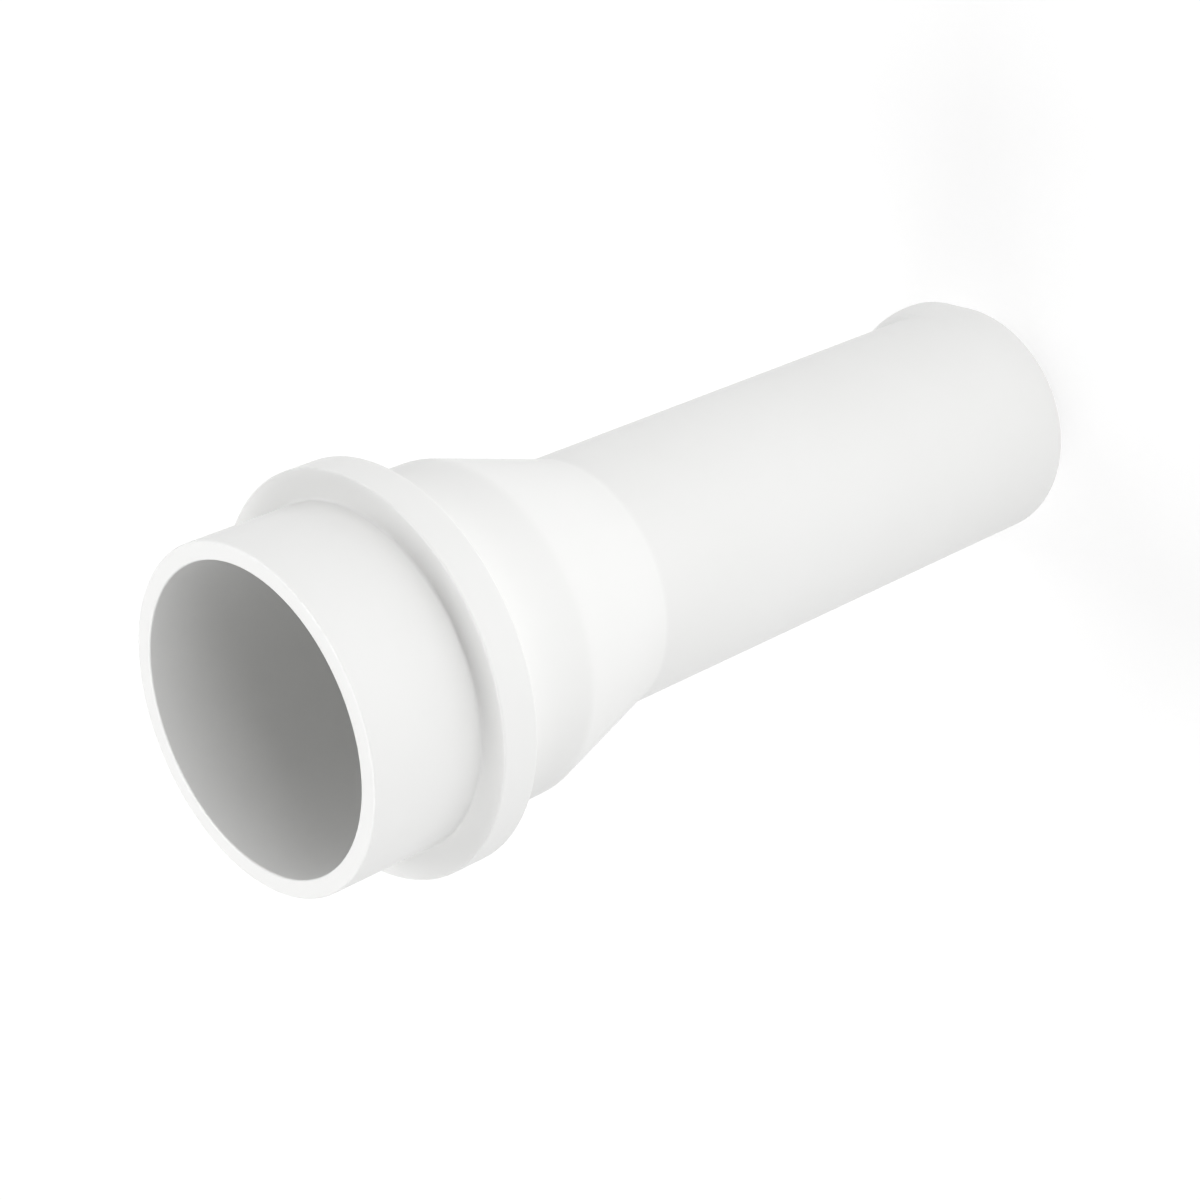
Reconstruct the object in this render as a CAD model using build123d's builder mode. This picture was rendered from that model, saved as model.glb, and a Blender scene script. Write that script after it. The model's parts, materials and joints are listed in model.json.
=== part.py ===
"""Connecting pipe: a moulded plastic water pipe for a cistern or waste.

A wide flanged spigot narrows through a cone to a plain tube. The tube's square end has a crescent lug on
one side. The pipe stands on that end, with the spigot's mouth up and the lug towards +X.
"""

import os
from math import atan2, tan

from build123d import *

# Lengths along the axis, in millimetres
overall_length = 175.7  # plain end to spigot mouth
spigot_length = 21.4  # mouth to the flange's front face
flange_thickness = 6.9
shoulder_length = 17.0  # wide pipe between the flange and the cone
cone_length = 23.9

# Diameters and wall, in millimetres
spigot_diameter = 59.0
flange_diameter = 69.7
tube_diameter = 45.0
wall = 3.2

# Crescent lug on the plain end, in millimetres
lug_length = 8.0  # how far it runs up the tube
lug_height = 4.2  # how far it stands out of the tube at the end face
lug_inset = 0.3  # its radius is this much smaller than the tube's
lug_arc = 88  # degrees of the ellipse that it follows, up to where it is back inside the tube

# Edges, in millimetres
edge_break = 0.3  # flange rim, mouth and the bore's plain end
root_radius = 0.45  # where the flange meets the wide pipe
bend_radius = 4.0  # on the inner side of the bend at each end of the cone

# Heights above the plain end
flange_front = overall_length - spigot_length
flange_back = flange_front - flange_thickness
cone_top = flange_back - shoulder_length
cone_bottom = cone_top - cone_length

spigot_radius = spigot_diameter / 2
flange_radius = flange_diameter / 2
tube_radius = tube_diameter / 2
spigot_bore_radius = spigot_radius - wall
tube_bore_radius = tube_radius - wall
lug_radius = tube_radius - lug_inset
lug_shift = lug_height + lug_inset

# An even wall puts the corners of the water-way's cone a little above those outside
cone_slope = atan2(spigot_radius - tube_radius, cone_length)
bore_rise = wall * tan(cone_slope / 2)

with BuildPart() as connecting_pipe:
    # Outside, turned about the axis
    with BuildSketch(Plane.XZ) as outside:
        with BuildLine():
            Polyline(
                (0, 0),
                (tube_radius, 0),
                (tube_radius, cone_bottom),
                (spigot_radius, cone_top),
                (spigot_radius, flange_back),
                (flange_radius, flange_back),
                (flange_radius, flange_front),
                (spigot_radius, flange_front),
                (spigot_radius, overall_length),
                (0, overall_length),
                close=True,
            )
        make_face()
        flange_corners = outside.vertices().filter_by_position(
            Axis.Y, flange_back - edge_break, flange_front + edge_break
        )
        cone_corners = outside.vertices().filter_by_position(
            Axis.Y, cone_bottom - edge_break, cone_top + edge_break
        )
        fillet(cone_corners.sort_by(Axis.Y)[0], bend_radius)
        fillet(cone_corners.sort_by(Axis.Y)[-1], bend_radius + wall)
        fillet(flange_corners.group_by(Axis.X)[0], root_radius)
        chamfer(flange_corners.group_by(Axis.X)[-1], edge_break)
    revolve(axis=Axis.Z)

    # Lug: a round that moves out of the tube along a quarter of an ellipse, on its way down to the end face
    with BuildLine(Plane.XZ):
        EllipticalCenterArc((0, 0), lug_shift, lug_length, arc_size=lug_arc)
    with BuildSketch(Plane.XY):
        with Locations((lug_shift, 0)):
            Circle(lug_radius)
    sweep(normal=(0, 0, 1))

    # Water-way, one wall inside
    with BuildSketch(Plane.XZ) as water_way:
        with BuildLine():
            Polyline(
                (0, 0),
                (tube_bore_radius, 0),
                (tube_bore_radius, cone_bottom + bore_rise),
                (spigot_bore_radius, cone_top + bore_rise),
                (spigot_bore_radius, overall_length),
                (0, overall_length),
                close=True,
            )
        make_face()
        bore_corners = water_way.vertices().filter_by_position(
            Axis.Y, cone_bottom - edge_break, cone_top + bore_rise + edge_break
        )
        fillet(bore_corners.sort_by(Axis.Y)[0], bend_radius + wall)
        fillet(bore_corners.sort_by(Axis.Y)[-1], bend_radius)
    revolve(axis=Axis.Z, mode=Mode.SUBTRACT)

    # Broken edges at the mouth, and inside the plain end
    end_face = connecting_pipe.faces().sort_by(Axis.Z)[0]
    mouth_face = connecting_pipe.faces().sort_by(Axis.Z)[-1]
    chamfer([*mouth_face.edges(), *end_face.inner_wires()[0].edges()], edge_break)

connecting_pipe.part.label = "connecting_pipe"

os.makedirs("parts", exist_ok=True)
export_step(connecting_pipe.part, "parts/connecting_pipe.step")
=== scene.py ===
"""A white moulded connecting pipe, standing on its plain end on a pale studio floor."""

import json

import bpy
import numpy as np
from mathutils import Matrix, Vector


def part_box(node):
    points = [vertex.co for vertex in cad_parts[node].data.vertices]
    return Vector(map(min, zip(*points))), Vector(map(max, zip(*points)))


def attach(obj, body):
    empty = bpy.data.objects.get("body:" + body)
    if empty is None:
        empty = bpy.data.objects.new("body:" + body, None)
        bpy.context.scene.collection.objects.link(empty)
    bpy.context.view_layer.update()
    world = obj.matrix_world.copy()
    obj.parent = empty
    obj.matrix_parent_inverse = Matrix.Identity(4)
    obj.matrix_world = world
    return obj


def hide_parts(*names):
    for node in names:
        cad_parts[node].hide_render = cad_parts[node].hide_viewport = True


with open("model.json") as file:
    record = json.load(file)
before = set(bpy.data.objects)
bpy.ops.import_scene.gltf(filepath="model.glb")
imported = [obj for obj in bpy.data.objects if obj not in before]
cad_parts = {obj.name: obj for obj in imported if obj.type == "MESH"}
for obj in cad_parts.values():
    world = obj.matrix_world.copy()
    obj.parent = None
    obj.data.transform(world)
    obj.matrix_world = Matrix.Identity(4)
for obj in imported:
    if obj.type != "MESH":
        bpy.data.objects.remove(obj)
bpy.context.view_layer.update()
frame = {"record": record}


# The pipe itself is one hollow injection moulding in white plastic. It is shaped by a turned steel mould with
# a core through it: a flanged spigot, a short shoulder, a cone and a plain tube. A crescent lug steps out of
# one side of the tube at its square end.
MM = 0.001
mounts = {mount["name"]: mount for mount in frame["record"]["mounts"]}
pipe_low, pipe_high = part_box("connecting_pipe")
overall_length = pipe_high[2] - pipe_low[2]
flange_radius = (pipe_high[1] - pipe_low[1]) / 2
spigot_radius = mounts["spigot_outside"]["dims"]["r_mm"] * MM
spigot_bore_radius = mounts["spigot_bore"]["dims"]["r_mm"] * MM
tube_bore_radius = mounts["tube_bore"]["dims"]["r_mm"] * MM
wall = spigot_radius - spigot_bore_radius
tube_radius = tube_bore_radius + wall
flange_front = mounts["flange_front"]["pos_m"][2]
flange_thickness = 6.9 * MM
shoulder_length = 17.0 * MM
cone_length = 23.9 * MM
edge_round = 0.35 * MM
end_round = 0.12 * MM
root_round = 0.45 * MM
bend_round = 4.0 * MM
lug_length = 8.0 * MM
lug_height = 4.2 * MM
lug_inset = 0.3 * MM
lug_foot_turn = np.radians(80)
guard = 0.4 * MM
turn_steps = 288
lug_steps = 40
round_steps = 6


def rounded(corners):
    """The outline through the corners (radius, height, rounding), each corner turned into an arc.

    The arc touches both neighbouring runs at rounding * tan(turn / 2) from the corner. A guard point stands a
    little way along each run, so that the shading stays flat between the arcs.
    """
    points = [np.array(corners[0][:2])]
    for before, here, after in zip(corners, corners[1:], corners[2:]):
        corner = np.array(here[:2])
        back = np.array(before[:2]) - corner
        ahead = np.array(after[:2]) - corner
        back = back / np.linalg.norm(back)
        ahead = ahead / np.linalg.norm(ahead)
        half_turn = (np.pi - np.arccos(np.clip(back @ ahead, -1, 1))) / 2
        reach = here[2] * np.tan(half_turn)
        centre = corner + (back + ahead) / np.linalg.norm(back + ahead) * here[2] / np.cos(half_turn)
        start = corner + back * reach - centre
        end = corner + ahead * reach - centre
        share = np.linspace(0, 1, round_steps + 1)[:, None]
        arc = np.sin((1 - share) * 2 * half_turn) * start + np.sin(share * 2 * half_turn) * end
        arc = centre + arc / np.sin(2 * half_turn)
        points += [corner + back * (reach + guard), *arc, corner + ahead * (reach + guard)]
    points.append(np.array(corners[-1][:2]))
    return np.array(points)


def lug_path():
    """Shift, height and cut-back of the round that makes the lug, from the end face up.

    The shift falls and the height rises along a quarter of an ellipse. Near the tube, an arc that touches
    both the ellipse and the tube's wall takes over and fillets the lug's foot. At the end face, the cut-back
    rounds the outer edge with a quarter of a circle.
    """
    shift = lug_height + lug_inset
    quarter = np.linspace(0, np.pi / 2, round_steps)
    end_rise = end_round * (1 - np.cos(quarter))
    climb = np.linspace(np.arcsin(end_round / lug_length), lug_foot_turn, lug_steps)[1:]
    climb = np.concatenate([[0], np.arcsin(end_rise / lug_length), climb])
    ellipse = np.column_stack([shift * np.cos(climb), lug_length * np.sin(climb), np.zeros_like(climb)])
    ellipse[0, 2] = end_round + guard
    ellipse[1 : round_steps + 1, 2] = end_round * (1 - np.sin(quarter))
    slope = np.arctan2(lug_length * np.cos(lug_foot_turn), shift * np.sin(lug_foot_turn))
    foot_round = (shift * np.cos(lug_foot_turn) - lug_inset) / (1 - np.sin(slope))
    bend = np.linspace(np.pi / 2 - slope, 0, round_steps + 1)[1:]
    foot_top = ellipse[-1, 1] + foot_round * np.cos(slope)
    foot_shift = lug_inset + foot_round * (1 - np.cos(bend))
    foot = np.column_stack([foot_shift, foot_top - foot_round * np.sin(bend), np.zeros_like(bend)])
    return np.vstack([ellipse, foot])


def lug_radius(shift):
    """Radius of the tube with its lug, by turn, for each shift of the lug's round along +X.

    The round is smaller than the tube by the inset, so an unshifted one is hidden inside it. A smooth maximum
    of the two radii, as wide as the inset, leaves no crease where they cross.
    """
    small = tube_radius - lug_inset
    lug = shift * np.cos(turn) + np.sqrt(small**2 - (shift * np.sin(turn)) ** 2)
    near = np.clip(1 - np.abs(lug - tube_radius) / lug_inset, 0, 1)
    return np.maximum(lug, tube_radius) + near**2 * lug_inset / 4


turn = np.linspace(0, 2 * np.pi, turn_steps, endpoint=False)
flange_back = flange_front - flange_thickness
cone_top = flange_back - shoulder_length
cone_bottom = cone_top - cone_length
bore_rise = wall * np.tan(np.arctan2(spigot_radius - tube_radius, cone_length) / 2)
lug_shift, lug_rise, lug_cut = np.hsplit(lug_path(), 3)
outline = rounded(
    [
        (tube_radius, lug_rise[-1, 0] + guard, 0),
        (tube_radius, cone_bottom, bend_round),
        (spigot_radius, cone_top, bend_round + wall),
        (spigot_radius, flange_back, root_round),
        (flange_radius, flange_back, edge_round),
        (flange_radius, flange_front, edge_round),
        (spigot_radius, flange_front, root_round),
        (spigot_radius, overall_length, edge_round),
        (spigot_bore_radius, overall_length, edge_round),
        (spigot_bore_radius, cone_top + bore_rise, bend_round),
        (tube_bore_radius, cone_bottom + bore_rise, bend_round + wall),
        (tube_bore_radius, 0, edge_round),
        (tube_bore_radius + wall / 2, 0, 0),
    ]
)
across = np.ones(turn_steps)
radius = np.vstack([lug_radius(lug_shift) - lug_cut, outline[:, :1] * across])
height = np.vstack([lug_rise * across, outline[:, 1:] * across])
grid = np.stack([radius * np.cos(turn), radius * np.sin(turn), height], axis=-1)
ring, step = np.meshgrid(np.arange(len(grid)), np.arange(turn_steps), indexing="ij")
next_ring = (ring + 1) % len(grid)
next_step = (step + 1) % turn_steps
quads = np.stack(
    [
        ring * turn_steps + step,
        ring * turn_steps + next_step,
        next_ring * turn_steps + next_step,
        next_ring * turn_steps + step,
    ],
    axis=-1,
)
pipe_mesh = bpy.data.meshes.new("pipe_moulding")
pipe_mesh.from_pydata(grid.reshape(-1, 3).tolist(), [], quads.reshape(-1, 4).tolist())
pipe_mesh.polygons.foreach_set("use_smooth", np.ones(len(pipe_mesh.polygons), dtype=bool))
pipe = bpy.data.objects.new("pipe_moulding", pipe_mesh)
bpy.context.collection.objects.link(pipe)

warm_white = (0.80, 0.80, 0.79, 1)
clean_white = (0.83, 0.83, 0.825, 1)
satin_roughness = 0.40
matt_roughness = 0.52
grain_depth = 0.05 * MM
grain_strength = 0.05
white_plastic = bpy.data.materials.new("white_moulded_plastic")
white_plastic.use_nodes = True
nodes = white_plastic.node_tree.nodes
links = white_plastic.node_tree.links
plastic = nodes["Principled BSDF"]
plastic.inputs["IOR"].default_value = 1.49
place = nodes.new("ShaderNodeTexCoord")


def cloud(cells_per_metre, detail):
    """Soft noise over the piece, finer with more cells to the metre."""
    noise = nodes.new("ShaderNodeTexNoise")
    noise.inputs["Scale"].default_value = cells_per_metre
    noise.inputs["Detail"].default_value = detail
    links.new(place.outputs["Object"], noise.inputs["Vector"])
    return noise.outputs["Fac"]


tint = nodes.new("ShaderNodeMix")
tint.data_type = "RGBA"
tint.inputs["A"].default_value = warm_white
tint.inputs["B"].default_value = clean_white
links.new(cloud(cells_per_metre=28, detail=3), tint.inputs["Factor"])
links.new(tint.outputs["Result"], plastic.inputs["Base Color"])
sheen = nodes.new("ShaderNodeMapRange")
sheen.inputs["To Min"].default_value = satin_roughness
sheen.inputs["To Max"].default_value = matt_roughness
links.new(cloud(cells_per_metre=160, detail=4), sheen.inputs["Value"])
links.new(sheen.outputs["Result"], plastic.inputs["Roughness"])
grain = nodes.new("ShaderNodeBump")
grain.inputs["Strength"].default_value = grain_strength
grain.inputs["Distance"].default_value = grain_depth
links.new(cloud(cells_per_metre=1500, detail=2), grain.inputs["Height"])
links.new(grain.outputs["Normal"], plastic.inputs["Normal"])
pipe_mesh.materials.append(white_plastic)

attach(pipe, "root")
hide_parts("connecting_pipe")


# The floor is a plain white light table. It fills the picture in views from about 15 degrees up, and lower
# ones show the tent past its edge, a little darker. Its glow rises away from the pipe, as the light from
# above falls off, so that it stays nearly white as far as that edge.
floor_half = 6.0
floor_grey = (0.36, 0.36, 0.36, 1)
glow_near = 0.66
glow_far = 0.84
glow_starts = 0.2
glow_ends = 2.0
floor_mesh = bpy.data.meshes.new("studio_floor")
floor_corners = [(-1, -1, 0), (1, -1, 0), (1, 1, 0), (-1, 1, 0)]
floor_mesh.from_pydata((np.array(floor_corners) * floor_half).tolist(), [], [(0, 1, 2, 3)])
floor = bpy.data.objects.new("studio_floor", floor_mesh)
bpy.context.collection.objects.link(floor)
floor_paint = bpy.data.materials.new("pale_floor")
floor_paint.use_nodes = True
floor_nodes = floor_paint.node_tree.nodes
floor_links = floor_paint.node_tree.links
floor_finish = floor_nodes["Principled BSDF"]
floor_finish.inputs["Base Color"].default_value = floor_grey
floor_finish.inputs["Roughness"].default_value = 0.9
floor_finish.inputs["Emission Color"].default_value = (1, 1, 1, 1)
floor_place = floor_nodes.new("ShaderNodeTexCoord")
floor_reach = floor_nodes.new("ShaderNodeVectorMath")
floor_reach.operation = "LENGTH"
floor_glow = floor_nodes.new("ShaderNodeMapRange")
floor_glow.inputs["From Min"].default_value = glow_starts
floor_glow.inputs["From Max"].default_value = glow_ends
floor_glow.inputs["To Min"].default_value = glow_near
floor_glow.inputs["To Max"].default_value = glow_far
floor_links.new(floor_place.outputs["Object"], floor_reach.inputs["Vector"])
floor_links.new(floor_reach.outputs["Value"], floor_glow.inputs["Value"])
floor_links.new(floor_glow.outputs["Result"], floor_finish.inputs["Emission Strength"])
floor_mesh.materials.append(floor_paint)


# The camera stands where the photograph was taken from: above the spigot's side, looking down past the mouth,
# and rolled so that the standing pipe lies across the picture.
camera_place = np.array([-0.31075, -0.20859, 0.40410])
camera_right = np.array([-0.6997, 0.0, -0.7148])
camera_up = np.array([0.3152, -0.8980, -0.3082])
camera_back = np.array([-0.6419, -0.4410, 0.6278])
camera_data = bpy.data.cameras.new("camera")
camera_data.sensor_width = 36.0
camera_data.lens = 84.08
camera_data.clip_start = 0.01
camera = bpy.data.objects.new("camera", camera_data)
bpy.context.collection.objects.link(camera)
camera_matrix = np.eye(4)
camera_matrix[:3] = np.column_stack([camera_right, camera_up, camera_back, camera_place])
camera.matrix_world = Matrix(camera_matrix.tolist())
bpy.context.scene.camera = camera


# The light is a white tent that is bright at the sides and dark overhead, so that little of it falls into the
# bore. A low panel on the camera's side lights the pipe's wall. Two high ones behind it whiten the mouth's
# rim, while the spigot shades the flange from each of them in turn.
horizon_glow = 0.94
zenith_glow = 0.0
picture_gamma = 0.85
world = bpy.data.worlds.new("white_tent")
world.use_nodes = True
tent_nodes = world.node_tree.nodes
tent_links = world.node_tree.links
tent_place = tent_nodes.new("ShaderNodeTexCoord")
tent_split = tent_nodes.new("ShaderNodeSeparateXYZ")
tent_fall = tent_nodes.new("ShaderNodeMapRange")
tent_fall.inputs["To Min"].default_value = horizon_glow
tent_fall.inputs["To Max"].default_value = zenith_glow
tent_links.new(tent_place.outputs["Generated"], tent_split.inputs["Vector"])
tent_links.new(tent_split.outputs["Z"], tent_fall.inputs["Value"])
tent_links.new(tent_fall.outputs["Result"], tent_nodes["Background"].inputs["Strength"])
tent_nodes["Background"].inputs["Color"].default_value = (1, 1, 1, 1)
bpy.context.scene.world = world
aim = np.array([0, 0, overall_length / 2])


def soft_panel(name, azimuth, elevation, distance, side, watts):
    """A square panel around the pipe's middle, in degrees from +X and above the floor, turned to face it."""
    panel_data = bpy.data.lights.new(name, "AREA")
    panel_data.size = side
    panel_data.energy = watts
    panel = bpy.data.objects.new(name, panel_data)
    bpy.context.collection.objects.link(panel)
    round_turn, lift = np.radians([azimuth, elevation])
    outward = np.array([np.cos(lift) * np.cos(round_turn), np.cos(lift) * np.sin(round_turn), np.sin(lift)])
    sideways = np.array([-np.sin(round_turn), np.cos(round_turn), 0])
    turned = np.eye(4)
    turned[:3] = np.column_stack([sideways, np.cross(outward, sideways), outward, aim + distance * outward])
    panel.matrix_world = Matrix(turned.tolist())


soft_panel("front_panel", azimuth=-145, elevation=6, distance=1.2, side=0.8, watts=6.3)
soft_panel("left_panel", azimuth=92, elevation=70, distance=1.4, side=0.6, watts=8.0)
soft_panel("right_panel", azimuth=-22, elevation=70, distance=1.4, side=0.6, watts=8.0)
bpy.context.scene.view_settings.view_transform = "Standard"
bpy.context.scene.view_settings.gamma = picture_gamma
